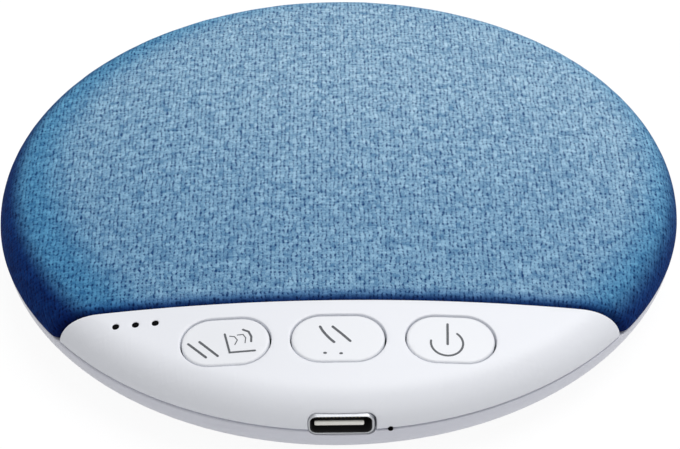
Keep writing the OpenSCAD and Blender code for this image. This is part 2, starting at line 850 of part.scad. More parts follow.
module battery_leads() {
    for (s = [-1, 1], u = cell_y + cell_tab * s, v = cell_z + 0.6 * s, w = plug_x - 0.7 * s)
        color(s > 0 ? "firebrick" : "black") translate([0, 0, seam_z]) lead([
            [cell_l / 2, u, cell_z],
            [cell_l / 2 + 0.9, u, cell_z],
            [lead_x, u - 1, v],
            [lead_x, cell_y - lead_run[0], v],
            [lead_x, 0, v],
            [lead_x, plug_back + lead_run[1], v],
            [lead_x - 1.5, plug_back + 3.2, plug_z - 1 + 0.6 * s],
            [plug_x + 4, plug_back + 2, plug_z + 0.6 * s],
            [w, plug_back + 2, plug_z + 0.6 * s],
            [w, plug_back + 0.9, plug_z],
            [w, plug_back, plug_z]
        ], [0, 0, 1]);
}

module battery_socket() {
    color([0.92, 0.9, 0.84]) translate([plug_x, plug_back - 4.3, seam_z + board_top]) difference() {
        translate([-2.3, 0, 0]) cube([4.6, 3.4, 2.2]);
        translate([-1.8, 0.6, 0.35]) cube([3.6, 3.4, 1.5]);
    }
}

module battery_plug() {
    color([0.95, 0.94, 0.9]) translate([plug_x, plug_back, seam_z + plug_z]) union() {
        translate([-1.7, -3.6, -0.7]) cube([3.4, 2.8, 1.4]);
        translate([-1.9, -0.8, -0.8]) cube([3.8, 0.8, 1.6]);
    }
}

module driver_frame() {
    color([0.25, 0.26, 0.28]) translate([0, 0, seam_z]) difference() {
        rotate_extrude() polygon([
            [cup_r + 0.1, frame_bottom],
            [ledge_r + 0.8, frame_bottom],
            [driver_r - 2.1, frame_top - frame_t],
            [driver_r, frame_top - frame_t],
            [driver_r, frame_top],
            [cone_r + surround_w - 0.2, frame_top],
            [cone_r + surround_w - 0.2, frame_top - 0.4],
            [ledge_r + 0.2, frame_bottom + frame_t],
            [cup_r + 0.1, frame_bottom + frame_t]
        ]);
        for (k = [0 : 5]) rotate(60 * k) translate([(ledge_r + cone_r) / 2 + 1.7, 0, -far / 2])
            obround(4, 3.4, far);
    }
}

module driver_yoke() {
    color("silver") translate([0, 0, seam_z]) difference() {
        union() {
            translate([0, 0, cup_low]) cylinder(r = cup_r, h = cup_top - cup_low);
            translate([0, 0, frame_bottom - 0.8]) cylinder(r = ledge_r, h = 0.8);
        }
        translate([0, 0, cup_floor]) cylinder(r = cup_r - cup_wall, h = far);
    }
}

module driver_magnet() {
    color([0.55, 0.56, 0.58]) translate([0, 0, seam_z + cup_floor]) cylinder(r = magnet_r, h = magnet_h);
}

module pole_plate() {
    color("silver") translate([0, 0, seam_z + cup_floor + magnet_h]) cylinder(r = magnet_r + 0.1, h = 0.8);
}

module voice_coil() {
    color([0.72, 0.42, 0.2]) translate([0, 0, seam_z]) rotate_extrude()
        translate([coil_in, cup_floor + stroke + slack + 0.1])
            square([coil_t, cone_low_z - cup_floor - stroke - slack - 0.1]);
}

// Cone with a domed cap, one skin whose flat step takes the coil
module diaphragm() {
    cap_r = coil_in - 0.2;
    cap_h = 1.4;
    cap_ball = (cap_r * cap_r + cap_h * cap_h) / (2 * cap_h);
    low = concat(
        [for (i = [0 : 6]) let(r = cap_r * i / 6)
            [r, cone_low_z + cap_h - cap_ball + sqrt(cap_ball * cap_ball - r * r)]],
        [[coil_in + coil_t + 0.2, cone_low_z]],
        [[cone_r - 1.2, cone_edge_z - skin_t]],
        [[cone_r, cone_edge_z - skin_t]]
    );
    color([0.14, 0.14, 0.15]) translate([0, 0, seam_z]) rotate_extrude()
        polygon(concat(low, [for (i = [len(low) - 1 : -1 : 0]) low[i] + [0, skin_t]]));
}

// Rolled edge between the cone and the frame, glued on both
module surround() {
    roll_h = 0.8;
    roll_ball = (roll_r * roll_r + roll_h * roll_h) / (2 * roll_h);
    mid = cone_r + roll_r;
    base = cone_edge_z;
    low = concat(
        [[cone_r - 1, base], [cone_r, base]],
        [for (i = [1 : 7]) let(r = roll_r * (i / 4 - 1))
            [mid + r, base + roll_h - roll_ball + sqrt(roll_ball * roll_ball - r * r)]],
        [[cone_r + surround_w, frame_top], [cone_r + surround_w + 1.1, frame_top]]
    );
    color([0.08, 0.08, 0.09]) translate([0, 0, seam_z]) rotate_extrude()
        polygon(concat(low, [for (i = [len(low) - 1 : -1 : 0]) low[i] + [0, skin_t]]));
}

module driver_gasket() {
    color([0.1, 0.1, 0.1]) translate([0, 0, seam_z + frame_top]) rotate_extrude()
        translate([driver_r - 1.4, 0]) square([1.4, gasket_t]);
}

module driver_leads() {
    for (s = [0, 1], r = driver_r - 1.55, a = 238.3 - 7.9 * s, x = -10 - 2 * s, y = 7.6 - chord_y)
        color(s > 0 ? "firebrick" : "black") translate([0, 0, seam_z]) lead([
            [r * cos(a), r * sin(a), frame_top - frame_t],
            [r * cos(a), r * sin(a), 1.4],
            [x + 0.1, r * sin(a) - 1.7 - 0.5 * s, 1],
            [x, y + 3.4, 1],
            [x, y + 0.8, 1],
            [x, y, 0.4],
            [x, y, board_top]
        ], [1, 0, 0]);
}

bottom_shell();
foot_front_left();
foot_front_right();
foot_rear_left();
foot_rear_right();
case_screws();
dome_grille();
foam_pad();
fabric_cover();
control_panel();
sound_button();
play_button();
power_button();
sound_plunger();
play_plunger();
power_plunger();
sound_switch();
play_switch();
power_switch();
main_board();
board_screws();
main_chip();
amplifier_chip();
led_left();
led_middle();
led_right();
light_guide();
usb_shell();
usb_tongue();
microphone();
mic_boot();
battery_cell();
battery_tape();
battery_leads();
battery_socket();
battery_plug();
driver_frame();
driver_yoke();
driver_magnet();
pole_plate();
voice_coil();
diaphragm();
surround();
driver_gasket();
driver_leads();
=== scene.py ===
import math
import bmesh
import bpy
from mathutils import Matrix, Quaternion, Vector, noise


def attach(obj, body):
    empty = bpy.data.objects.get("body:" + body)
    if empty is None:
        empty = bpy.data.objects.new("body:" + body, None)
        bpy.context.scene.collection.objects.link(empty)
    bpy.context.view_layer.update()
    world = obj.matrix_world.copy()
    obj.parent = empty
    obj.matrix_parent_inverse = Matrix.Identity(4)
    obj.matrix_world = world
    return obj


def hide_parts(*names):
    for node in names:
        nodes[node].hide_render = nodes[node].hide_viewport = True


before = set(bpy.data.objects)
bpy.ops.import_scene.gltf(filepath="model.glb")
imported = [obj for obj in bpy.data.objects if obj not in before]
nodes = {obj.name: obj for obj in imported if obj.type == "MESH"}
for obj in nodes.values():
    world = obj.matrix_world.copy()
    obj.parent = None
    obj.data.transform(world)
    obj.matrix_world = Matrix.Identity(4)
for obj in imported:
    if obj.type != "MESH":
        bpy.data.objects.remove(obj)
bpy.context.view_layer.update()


# ---- Table, light and camera
# The speaker lies on a plain white table under one wide soft lamp, a little behind it, with weak
# light from the front. The camera stands in front and looks down on the key side.

class Signal:
    """A node's socket that sums are written with; the operators add Math nodes."""

    def __init__(self, tree, socket=None):
        self.tree = tree
        self.socket = socket

    def node(self, kind, values=None, out=0, **settings):
        """Adds one shader node with its settings, then its socket values or links."""
        made = self.tree.nodes.new("ShaderNode" + kind)
        for name, value in settings.items():
            setattr(made, name, value)
        for key, value in (values or {}).items():
            if isinstance(value, Signal):
                self.tree.links.new(value.socket, made.inputs[key])
            else:
                made.inputs[key].default_value = value
        if isinstance(out, tuple):
            return [Signal(self.tree, made.outputs[i]) for i in out]
        return Signal(self.tree, made.outputs[out])

    def math(self, operation, *others):
        return self.node("Math", dict(enumerate((self,) + others)), operation=operation)

    def into(self, shader, name):
        self.tree.links.new(self.socket, shader.inputs[name])

    def mix(self, low, high):
        """Colour low where this is 0 and high where it is 1."""
        return self.node("Mix", {0: self, 6: low, 7: high}, out=2, data_type="RGBA")

    def step(self, start, end):
        """Rises smoothly from 0 at start to 1 at end."""
        return self.node("MapRange", {0: self, 1: start, 2: end}, interpolation_type="SMOOTHSTEP")

    def __add__(self, other):
        return self.math("ADD", other)

    def __sub__(self, other):
        return self.math("SUBTRACT", other)

    def __rsub__(self, other):
        return self.node("Math", {0: other, 1: self}, operation="SUBTRACT")

    def __mul__(self, other):
        return self.math("MULTIPLY", other)

    __radd__ = __add__
    __rmul__ = __mul__


def srgb(*levels):
    """Linear colour for levels from 0 to 255 as they look on the screen."""
    return [((v / 255 + 0.055) / 1.055) ** 2.4 if v > 10 else v / 3295 for v in levels] + [1.0]


def material(name, **values):
    """A new material, its shader with these plain values, and the start of its sums."""
    made = bpy.data.materials.new(name)
    made.use_nodes = True
    shader = made.node_tree.nodes["Principled BSDF"]
    for socket, value in values.items():
        shader.inputs[socket.replace("_", " ")].default_value = value
    return made, shader, Signal(made.node_tree)


def seen_directly(start):
    """1 for what the camera, a gloss or glass sees, 0 for the light that falls on things."""
    camera, glossy, clear = start.node("LightPath", out=(0, 3, 6))
    return camera.math("MAXIMUM", glossy).math("MAXIMUM", clear)


world = bpy.data.worlds.new("studio")
bpy.context.scene.world = world
world.use_nodes = True
room = Signal(world.node_tree)
WORLD_LIGHT = 0.38
room_light = WORLD_LIGHT + seen_directly(room) * (1.0 - WORLD_LIGHT)
room_light.into(world.node_tree.nodes["Background"], "Strength")
world.node_tree.nodes["Background"].inputs["Color"].default_value = (1.0, 1.0, 1.0, 1.0)

bm = bmesh.new()
bmesh.ops.create_grid(bm, x_segments=1, y_segments=1, size=3.0)
table_mesh = bpy.data.meshes.new("table")
bm.to_mesh(table_mesh)
bm.free()
table = bpy.data.objects.new("table", table_mesh)
bpy.context.scene.collection.objects.link(table)
white, shader, start = material("table_white", Roughness=0.9, Base_Color=srgb(225, 226, 228))
TABLE_GLOW, TABLE_SHADOW = 1.05, 0.12
white_glow = start.node("Emission", {"Color": (1.0, 1.0, 1.0, 1.0), "Strength": TABLE_GLOW})
lit = Signal(white.node_tree, shader.outputs[0])
plain = seen_directly(start) * (1.0 - TABLE_SHADOW)
table_look = start.node("MixShader", {0: plain, 1: lit, 2: white_glow})
table_look.into(white.node_tree.nodes["Material Output"], "Surface")
table_mesh.materials.append(white)


def lamp(name, place, aim, size, power):
    data = bpy.data.lights.new(name, "AREA")
    data.shape = "DISK"
    data.size = size
    data.energy = power
    made = bpy.data.objects.new(name, data)
    made.location = place
    made.rotation_euler = (Vector(aim) - Vector(place)).to_track_quat("-Z", "Y").to_euler()
    bpy.context.scene.collection.objects.link(made)


lamp("overhead", place=(0.2, 0.16, 0.7), aim=(0, 0, 0), size=0.7, power=4.2)
lamp("front", place=(0.2, -0.9, 0.45), aim=(0, 0, 0), size=0.5, power=0.95)

SEAM = 0.0067
ELEVATION, ROLL = math.radians(37.7), math.radians(-0.58)
DISTANCE, LENS = 0.3943, 139.84
AIM_RIGHT, AIM_DOWN = 0.000195, 0.002912
back = Vector((0, -math.cos(ELEVATION), math.sin(ELEVATION)))
upward = Vector((0, math.sin(ELEVATION), math.cos(ELEVATION)))
camera_data = bpy.data.cameras.new("camera")
camera = bpy.data.objects.new("camera", camera_data)
bpy.context.scene.collection.objects.link(camera)
bpy.context.scene.camera = camera
camera_data.lens = LENS
camera_data.sensor_width = 36.0
camera_data.clip_start = 0.01
camera.location = Vector((0, 0, SEAM)) + back * DISTANCE
aim = Vector((AIM_RIGHT, 0, SEAM)) - upward * AIM_DOWN
roll = Quaternion((0, 0, 1), ROLL)
camera.rotation_mode = "QUATERNION"
camera.rotation_quaternion = (aim - camera.location).to_track_quat("-Z", "Y") @ roll
bpy.context.scene.view_settings.view_transform = "Standard"


# ---- Bottom shell
# A shallow dish of off-white moulded plastic that carries the board, the battery and the screws.
# Its rim leaves a fine shadow gap below the upper parts and is notched for the charging inlet.

def moulded(name, colour, roughness, grain=0.1):
    """Moulded plastic: even colour with a faint cloud, and the fine grain of a sparked mould."""
    made, shader, start = material(name, Specular_IOR_Level=0.4)
    place = start.node("TexCoord", out=3)
    cloud = start.node("TexNoise", {"Vector": place, "Scale": 90.0, "Detail": 3.0})
    cloud.mix([c * 0.95 for c in colour[:3]] + [1.0], colour).into(shader, "Base Color")
    (cloud * 0.12 + (roughness - 0.06)).into(shader, "Roughness")
    fine = start.node("TexNoise", {"Vector": place, "Scale": 5200.0, "Detail": 2.0})
    bump = start.node("Bump", {"Height": fine, "Strength": grain, "Distance": 0.00002})
    bump.into(shader, "Normal")
    return made


def dress(finish, *names):
    """Gives CAD pieces, whose shape is kept, this material."""
    for name in names:
        nodes[name].material_slots[0].material = finish


dress(moulded("base_plastic", srgb(221, 222, 231), 0.42), "bottom_shell")


# ---- Feet and case screws
# Four soft rubber discs sit in round recesses of the bottom shell, over the heads of the case
# screws, which are plain bright steel like those of the board.

dress(moulded("foot_rubber", srgb(176, 178, 182), 0.75, 0.4), "foot_front_left", "foot_front_right",
      "foot_rear_left", "foot_rear_right")


def metal(name, colour, roughness, streaks):
    """Bare metal with fine streaks or speckle; streaks gives the noise scale along x, y and z."""
    made, shader, start = material(name, Metallic=1.0)
    place = start.node("TexCoord", out=3)
    along = start.node("Mapping", {"Vector": place, "Scale": streaks})
    grain = start.node("TexNoise", {"Vector": along, "Scale": 1.0, "Detail": 3.0})
    grain.mix([c * 0.8 for c in colour[:3]] + [1.0], colour).into(shader, "Base Color")
    (grain * 0.2 + (roughness - 0.1)).into(shader, "Roughness")
    bump = start.node("Bump", {"Height": grain, "Strength": 0.1, "Distance": 0.00002})
    bump.into(shader, "Normal")
    return made


dress(metal("screw_steel", srgb(190, 190, 194), 0.32, (1500, 1500, 300)),
      "case_screws", "board_screws")


# ---- Carrier under the cloth
# A black perforated dome of moulded plastic. It holds the driver on three hooks and the cloth round
# its edge, and the four case screws pull it down onto the bottom shell.

dress(moulded("carrier_plastic", srgb(46, 48, 52), 0.55, 0.2), "dome_grille")


# ---- Foam layer
# Thin open foam laid over the perforated dome, so that the cloth feels soft and the holes don't
# show through it.

MM = 0.001
BODY_R, SHOULDER_R, CROWN_H, SIDE_H = 50.0, 5.3, 9.2, 0.07
SHOULDER_X = BODY_R - SHOULDER_R
RISE = CROWN_H - SIDE_H - SHOULDER_R
CROWN_R = SHOULDER_R + (SHOULDER_X ** 2 + RISE ** 2) / (2 * RISE)
CROWN_C = CROWN_H - CROWN_R
TURN = math.atan2(SHOULDER_X, SIDE_H - CROWN_C)
CROWN_RUN = CROWN_R * TURN
SHOULDER_RUN = SHOULDER_R * (math.pi / 2 - TURN)


def tilt(run):
    """Angle between the upright and the dome's normal, that far from the middle along the skin."""
    if run < CROWN_RUN:
        return run / CROWN_R
    return min(math.pi / 2, TURN + (run - CROWN_RUN) / SHOULDER_R)


def reach(run, proud=0.0):
    """Distance from the axis and height above the seam at a run along the skin, in millimetres."""
    a = tilt(run)
    if run < CROWN_RUN:
        return (CROWN_R + proud) * math.sin(a), CROWN_C + (CROWN_R + proud) * math.cos(a)
    down = max(0.0, run - CROWN_RUN - SHOULDER_RUN)
    return (SHOULDER_X + (SHOULDER_R + proud) * math.sin(a),
            SIDE_H + (SHOULDER_R + proud) * math.cos(a) - down)


def run_at(r):
    """Run along the skin to a point at distance r from the axis."""
    edge = CROWN_R * math.sin(TURN)
    if r < edge:
        return CROWN_R * math.asin(r / CROWN_R)
    return CROWN_RUN + SHOULDER_R * (math.asin(min(1.0, (r - SHOULDER_X) / SHOULDER_R)) - TURN)


def run_down_to(z):
    """Run along the skin to a height z above the seam, on the shoulder."""
    if z < SIDE_H:
        return CROWN_RUN + SHOULDER_RUN + SIDE_H - z
    return CROWN_RUN + SHOULDER_R * (math.acos((z - SIDE_H) / SHOULDER_R) - TURN)


def rolled_out(x, y):
    """Where a point above the dome lies when its skin is rolled out flat."""
    r = math.hypot(x, y)
    k = run_at(r) / r
    return x * k, y * k


def edge_line(y, last_run, step):
    """The straight edge at y, rolled out, from the left side to the right."""
    first = run_at(-y)
    count = int((last_run - first) / step)
    half = []
    for i in range(count + 1):
        run = first + (last_run - first) * i / count
        turn = math.acos(min(1.0, -y / reach(run)[0]))
        half.append((run * math.sin(turn), -run * math.cos(turn)))
    return [(-x, v) for x, v in reversed(half)] + half[1:]


def rim_line(run, start, end, count):
    """Points of the rolled-out rim between two directions, counted from the front, in radians."""
    return [(run * math.sin(a), -run * math.cos(a))
            for a in (start + (end - start) * i / count for i in range(count + 1))]


def closed_line(bm, points):
    """The edges of a new closed line through these points."""
    corners = [bm.verts.new(p) for p in points]
    return [bm.edges.new(pair) for pair in zip(corners, corners[1:] + corners[:1])]


def plate(outlines, low, high, edge, pitch):
    """Moulded plate in the flat: outlines filled, thickened, its top edges rounded, then sliced."""
    bm = bmesh.new()
    for line in outlines:
        closed_line(bm, [(x, y, low) for x, y in line])
    bmesh.ops.triangle_fill(bm, edges=bm.edges[:], use_beauty=True)
    grown = bmesh.ops.extrude_face_region(bm, geom=bm.faces[:], use_keep_orig=True)["geom"]
    top = [g for g in grown if isinstance(g, bmesh.types.BMFace)]
    lifted = list({v for f in top for v in f.verts})
    bmesh.ops.translate(bm, verts=lifted, vec=(0, 0, high - edge - low))
    bmesh.ops.recalc_face_normals(bm, faces=bm.faces[:])
    for i in (1, 2, 3) if edge > 0 else ():
        a, b = math.radians(30 * i), math.radians(30 * i - 30)
        bmesh.ops.inset_region(bm, faces=top, thickness=edge * (math.cos(b) - math.cos(a)),
                               depth=edge * (math.sin(a) - math.sin(b)), use_boundary=True,
                               use_even_offset=True)
    slice_up(bm, pitch)
    return bm


def slice_up(bm, pitch):
    """Cuts everything along even lines in x and y, so that it can be bent."""
    for axis in (0, 1):
        values = [v.co[axis] for v in bm.verts]
        for i in range(math.ceil(min(values) / pitch), math.floor(max(values) / pitch) + 1):
            normal = (1, 0, 0) if axis == 0 else (0, 1, 0)
            bmesh.ops.bisect_plane(bm, geom=bm.verts[:] + bm.edges[:] + bm.faces[:], dist=1e-5,
                                   plane_co=[i * pitch * n for n in normal], plane_no=normal)


def bend(bm):
    """Lays a flat plate onto the dome; what stood at height h stands h proud of the skin."""
    for v in bm.verts:
        run = math.hypot(v.co.x, v.co.y)
        r, z = reach(run, v.co.z)
        k = r / run if run > 1e-6 else 1.0
        v.co = (v.co.x * k, v.co.y * k, z)


def piece(name, bm, finish, slot, body="housing", stands_for=(), crease=40):
    """Makes the object from a mesh in millimetres above the seam, and fixes it to its body."""
    bmesh.ops.scale(bm, vec=(MM, MM, MM), verts=bm.verts[:])
    bmesh.ops.translate(bm, vec=(0, 0, SEAM), verts=bm.verts[:])
    mesh = bpy.data.meshes.new(name)
    bm.to_mesh(mesh)
    bm.free()
    mesh.materials.append(finish)
    mesh.polygons.foreach_set("use_smooth", [True] * len(mesh.polygons))
    mesh.set_sharp_from_angle(angle=math.radians(crease))
    made = bpy.data.objects.new(name, mesh)
    bpy.context.scene.collection.objects.link(made)
    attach(made, body)
    if stands_for:
        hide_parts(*stands_for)
    return made


FOAM_TOP, FOAM_LOW, FOAM_FOOT, FOAM_FRONT = -0.85, -2.45, 3.75, -28.35
foam_run = run_down_to(FOAM_FOOT)
line = edge_line(FOAM_FRONT, foam_run, step=1.0)
turn = math.atan2(line[-1][0], -line[-1][1])
outline = line + rim_line(foam_run, turn, 2 * math.pi - turn, count=150)[1:-1]
bm = plate([outline], FOAM_LOW, FOAM_TOP, edge=0.5, pitch=2.0)
bend(bm)
made, shader, start = material("open_foam", Roughness=0.95, Specular_IOR_Level=0.1)
cells = start.node("TexVoronoi", {"Vector": start.node("TexCoord", out=3), "Scale": 1600.0})
cells.mix(srgb(22, 24, 30), srgb(62, 66, 76)).into(shader, "Base Color")
start.node("Bump", {"Height": cells, "Strength": 0.8, "Distance": 0.0003}).into(shader, "Normal")
foam = piece("foam_layer", bm, made, "foam", stands_for=("foam_pad",))


# ---- Cloth cover
# A D-shaped blue linen-look weave, two tones of yarn, stretched over the foam. Its straight edge
# rolls into the joint behind the key segment, and its round edge ends just above the seam.

CLOTH_PROUD, CLOTH_RISE, CLOTH_T = 0.2, 0.1, 0.7
ROLL_R, ROLL_Y, TUCK_RUN = 1.3, -29.6, 1.1
HEM, TUCKED_IN = 0.35, 3.14


def tucked(run, turn):
    """Place on the cloth's outer face, with the roll into the joint at the straight edge."""
    r, z = reach(run, CLOTH_PROUD)
    a = tilt(run)
    place = Vector((r * math.sin(turn), -r * math.cos(turn), z + CLOTH_RISE))
    past = ROLL_Y - place.y
    if past > 0:
        b = min(past / ROLL_R, math.pi / 2)
        drop = ROLL_R * (1 - math.cos(b)) + max(0.0, past - ROLL_R * math.pi / 2)
        out = Vector((math.sin(a) * math.sin(turn), -math.sin(a) * math.cos(turn), math.cos(a)))
        place += Vector((0, past - ROLL_R * math.sin(b), 0)) - out * drop
    return place


hem_run = run_down_to(HEM)
line = edge_line(ROLL_Y - ROLL_R * math.pi / 2 - TUCK_RUN, hem_run, step=0.65)
turn = math.atan2(line[-1][0], -line[-1][1])
outline = line + rim_line(hem_run, turn, 2 * math.pi - turn, count=320)[1:-1]
sides = zip(outline, outline[1:] + outline[:1])
flat_area = abs(sum(a[0] * b[1] - b[0] * a[1] for a, b in sides)) / 2

bm = bmesh.new()
loop = closed_line(bm, [(x, y, 0) for x, y in outline])
middle = Vector((0, 8, 0))
EDGE_RINGS, EDGE_STEP, INNER_RINGS = 22, 0.009, 15
steps = [1 - EDGE_STEP * i for i in range(1, EDGE_RINGS + 1)]
steps += [steps[-1] * (1 - i / (INNER_RINGS + 1)) for i in range(1, INNER_RINGS + 1)]
last = 1.0
for share in steps:
    grown = bmesh.ops.extrude_edge_only(bm, edges=loop)["geom"]
    ends = [g for g in grown if isinstance(g, bmesh.types.BMVert)]
    loop = [g for g in grown if isinstance(g, bmesh.types.BMEdge)]
    loop = [e for e in loop if all(v in set(ends) for v in e.verts)]
    for v in ends:
        v.co = middle + (v.co - middle) * share / last
    last = share
grown = bmesh.ops.extrude_edge_only(bm, edges=loop)["geom"]
ends = [g for g in grown if isinstance(g, bmesh.types.BMVert)]
bmesh.ops.pointmerge(bm, verts=ends, merge_co=middle)
flat_map = bm.loops.layers.uv.new("flat")
for f in bm.faces:
    for corner in f.loops:
        corner[flat_map].uv = corner.vert.co.xy * MM
PULL_FINE, PULL_H = 0.35, 0.05
for v in bm.verts:
    pull = noise.noise(v.co * PULL_FINE) * PULL_H
    v.co = tucked(v.co.length, math.atan2(v.co.x, -v.co.y)) + Vector((0, 0, 1)) * pull
bmesh.ops.recalc_face_normals(bm, faces=bm.faces[:])

linen, shader, start = material("blue_linen", Roughness=0.95, Specular_IOR_Level=0.08)
flat = start.node("UVMap", uv_map="flat")
place = start.node("TexCoord", out=3)
sway = start.node("TexNoise", {"Vector": flat, "Scale": 420.0, "Detail": 2.0}, out=1)
moved = flat.node("VectorMath", {0: sway, 1: (0.5, 0.5, 0.5)}, operation="SUBTRACT")
SWAY = (0.0009, 0.0012, 0.0)
moved = flat.node("VectorMath", {0: moved, 1: SWAY, 2: flat}, operation="MULTIPLY_ADD")
u, v = moved.node("SeparateXYZ", {0: moved}, out=(0, 1))
WARP, WEFT, FIRST_YARN = 0.0006, 0.00066, 500.0
u = u * (1 / WARP) + FIRST_YARN
v = v * (1 / WEFT) + FIRST_YARN
iu, iv = u.math("FLOOR"), v.math("FLOOR")
fu, fv = u - iu - 0.5, v - iv - 0.5
over = (iu + iv).math("MODULO", 2.0) * 2.0 - 1.0
cu, cv = (fu * math.pi).math("COSINE"), (fv * math.pi).math("COSINE")
warp_up = cu + over * cv * 0.5 + 0.3
weft_up = cv - over * cu * 0.5
top = (warp_up - weft_up).step(-0.15, 0.15)
warp_at = start.node("CombineXYZ", {0: iu * 3.7, 1: v * 0.55})
weft_at = start.node("CombineXYZ", {0: u * 0.6, 1: iv * 5.3, 2: 40.0})
slub = {"Scale": 1.0, "Detail": 3.0, "Roughness": 0.7}
warp_tone = start.node("TexNoise", {"Vector": warp_at, **slub})
weft_tone = start.node("TexNoise", {"Vector": weft_at, **slub})
tone = warp_tone * 0.65 + weft_tone * 0.35
height = weft_up + top * (warp_up - weft_up)
cloud = start.node("TexNoise", {"Vector": flat, "Scale": 480.0, "Detail": 2.0})
fibre = start.node("TexNoise", {"Vector": flat, "Scale": 5200.0, "Detail": 3.0})
slack = start.node("TexNoise", {"Vector": flat, "Scale": 1300.0, "Detail": 2.0})
light = (tone + (cloud - 0.5) * 0.2 + (fibre - 0.5) * 0.35).step(0.3, 0.72)
yarn = light.mix(srgb(92, 136, 172), srgb(184, 216, 236))
pit = (cu.math("MAXIMUM", cv * 0.62) + (slack - 0.5) * 2.6).step(-0.15, 0.8)
yarn = pit.mix(srgb(30, 68, 118), yarn)
x, y = place.node("SeparateXYZ", {0: place}, out=(0, 1))


def painted_shade(colour, share, red, green, blue):
    """The colour, darkened by these linear shares of red, green and blue where share is 1, as
    painted shade.
    """
    return share.node("Mix", {0: share, 6: colour, 7: (red, green, blue, 1.0)}, out=2,
                      data_type="RGBA", blend_type="MULTIPLY")


# Painted shade: the cloth's colour darkens toward the front and the left, and turns navy at the hem
# and in the joint, where the side turns from the light and the roll casts its shadow.
r = (x * x + y * y).math("SQRT")
front = 1.0 - y.step(-0.028, 0.026)
left = 1.0 - x.step(-0.042, 0.005)
wide = left * 0.0045 + front * 0.003
near_hem = (r + wide).step(0.0435, 0.0512)
hem = (r + wide * 0.36).step(0.0478, 0.0512)
near_joint = 1.0 - y.step(-0.0304, -0.0284)
joint = 1.0 - y.step(-0.0306, -0.0299)
yarn = painted_shade(yarn, front, 0.66, 0.77, 0.85)
yarn = painted_shade(yarn, left * 0.9, 0.78, 0.87, 0.92)
yarn = painted_shade(yarn, near_hem, 0.40, 0.70, 0.84)
yarn = painted_shade(yarn, hem, 0.05, 0.12, 0.34)
yarn = painted_shade(yarn, near_joint, 0.32, 0.46, 0.66)
yarn = painted_shade(yarn, joint, 0.10, 0.20, 0.42)
yarn.into(shader, "Base Color")
relief = height + (fibre - 0.5) * 0.7
start.node("Bump", {"Height": relief, "Strength": 0.5, "Distance": 0.00012}).into(shader, "Normal")

cloth = piece("cloth_cover", bm, linen, "blue_cloth", stands_for=("fabric_cover",), crease=60)
thickness = cloth.modifiers.new("thickness", "SOLIDIFY")
thickness.thickness = CLOTH_T * MM
thickness.offset = -1.0
2 * hem_run * MM
(hem_run - ROLL_Y + TUCKED_IN) * MM
flat_area * MM * MM


# ---- Key segment
# The front segment of the dome is a separate white moulding with a fine satin grain. Three
# round-ended openings hold the keys, three small holes the lamps' windows, and its rim is notched
# for the charging inlet and the pinhole.

KEY_Y, KEY_W, KEY_GAP = -38.0, 8.2, 0.23
KEYS = ((-15.65, 12.1), (-0.25, 12.8), (15.15, 12.1))
HOLE_RIGHT, HOLE_BACK = 0.03, 0.05
DOT_X, DOT_Y, DOT_STEP, DOT_R = 28.2, -33.7, 2.75, 0.48
PORT_X, PORT_Z, PORT_W, PORT_H, PORT_CORNER = 0.08, 1.1, 8.94, 3.16, 1.15
PORT_GAP, PORT_PLAY = 0.06, 0.3
SEAM_GAP, EDGE_Y, WALL = 0.3, -30.97, 1.6
PIN_X, PIN_R = 6.7, 0.38


def round_bar(x, y, length, width, count=20):
    """Outline of a bar with round ends, seen from above."""
    r = width / 2
    a = (length - width) / 2
    ends = []
    for s in (1, -1):
        ends += [(x + s * (a + r * math.cos(t)), y + s * r * math.sin(t))
                 for t in (math.pi * (i / count - 0.5) for i in range(count + 1))]
    return ends


def soft_bar(x, z, w, h, r, count=8):
    """Outline of an upright bar with round corners, anticlockwise from its left side."""
    line = []
    for k, (sx, sz) in enumerate(((-1, -1), (1, -1), (1, 1), (-1, 1))):
        for i in range(count + 1):
            a = math.pi * (1 + k / 2 + i / count / 2)
            line.append((x + sx * (w / 2 - r) + r * math.cos(a),
                         z + sz * (h / 2 - r) + r * math.sin(a)))
        if k == 2:
            line += [(x + (w / 2 - r) * (1 - i / 4), z + h / 2) for i in range(1, 8)]
    return [p for i, p in enumerate(line) if math.dist(p, line[i - 1]) > 0.01]


def unrolled(line):
    """Points on the upright side of the rim, given as x and height above the seam, rolled out."""
    out = []
    for x, z in line:
        run = run_down_to(z)
        turn = math.asin(x / reach(run)[0])
        out.append((run * math.sin(turn), -run * math.cos(turn)))
    return out


def notch(line):
    """The part of an upright opening that stands above the seam gap, from left to right."""
    first = max(range(len(line)), key=lambda i: line[i][1] <= SEAM_GAP < line[i - 1][1])
    above = [p for p in line[first:] + line[:first] if p[1] > SEAM_GAP][::-1]
    return unrolled([(above[0][0], SEAM_GAP)] + above + [(above[-1][0], SEAM_GAP)])


def dots(radius):
    """Outlines of the three indicator holes, or of what fills them, rolled out."""
    return [[rolled_out(-DOT_X + i * DOT_STEP + radius * math.cos(t), DOT_Y + radius * math.sin(t))
             for t in (2 * math.pi * k / 28 for k in range(28))] for i in (-1, 0, 1)]


rim_run = run_down_to(SEAM_GAP)
line = edge_line(EDGE_Y, rim_run, step=0.6)
turn = math.atan2(line[-1][0], -line[-1][1])
port = notch(soft_bar(PORT_X + (PORT_PLAY - PORT_GAP) / 2, PORT_Z, PORT_W + PORT_GAP + PORT_PLAY,
                      PORT_H + 2 * PORT_GAP, PORT_CORNER + PORT_GAP))
level = math.asin(SEAM_GAP / 2 / PIN_R)
pin = unrolled([(PIN_X - PIN_R * math.cos(a), SEAM_GAP / 2 + PIN_R * math.sin(a))
                for a in (level + (math.pi - 2 * level) * i / 4 for i in range(5))])
port_turn = math.atan2(port[-1][0], -port[-1][1])
pin_turns = [math.atan2(p[0], -p[1]) for p in (pin[0], pin[-1])]
outline = line + rim_line(rim_run, turn, pin_turns[1], 60)[1:-1] + pin[::-1]
outline += rim_line(rim_run, pin_turns[0], port_turn, 3)[1:-1] + port[::-1]
outline += rim_line(rim_run, -port_turn, -turn, 70)[1:-1]
holes = []
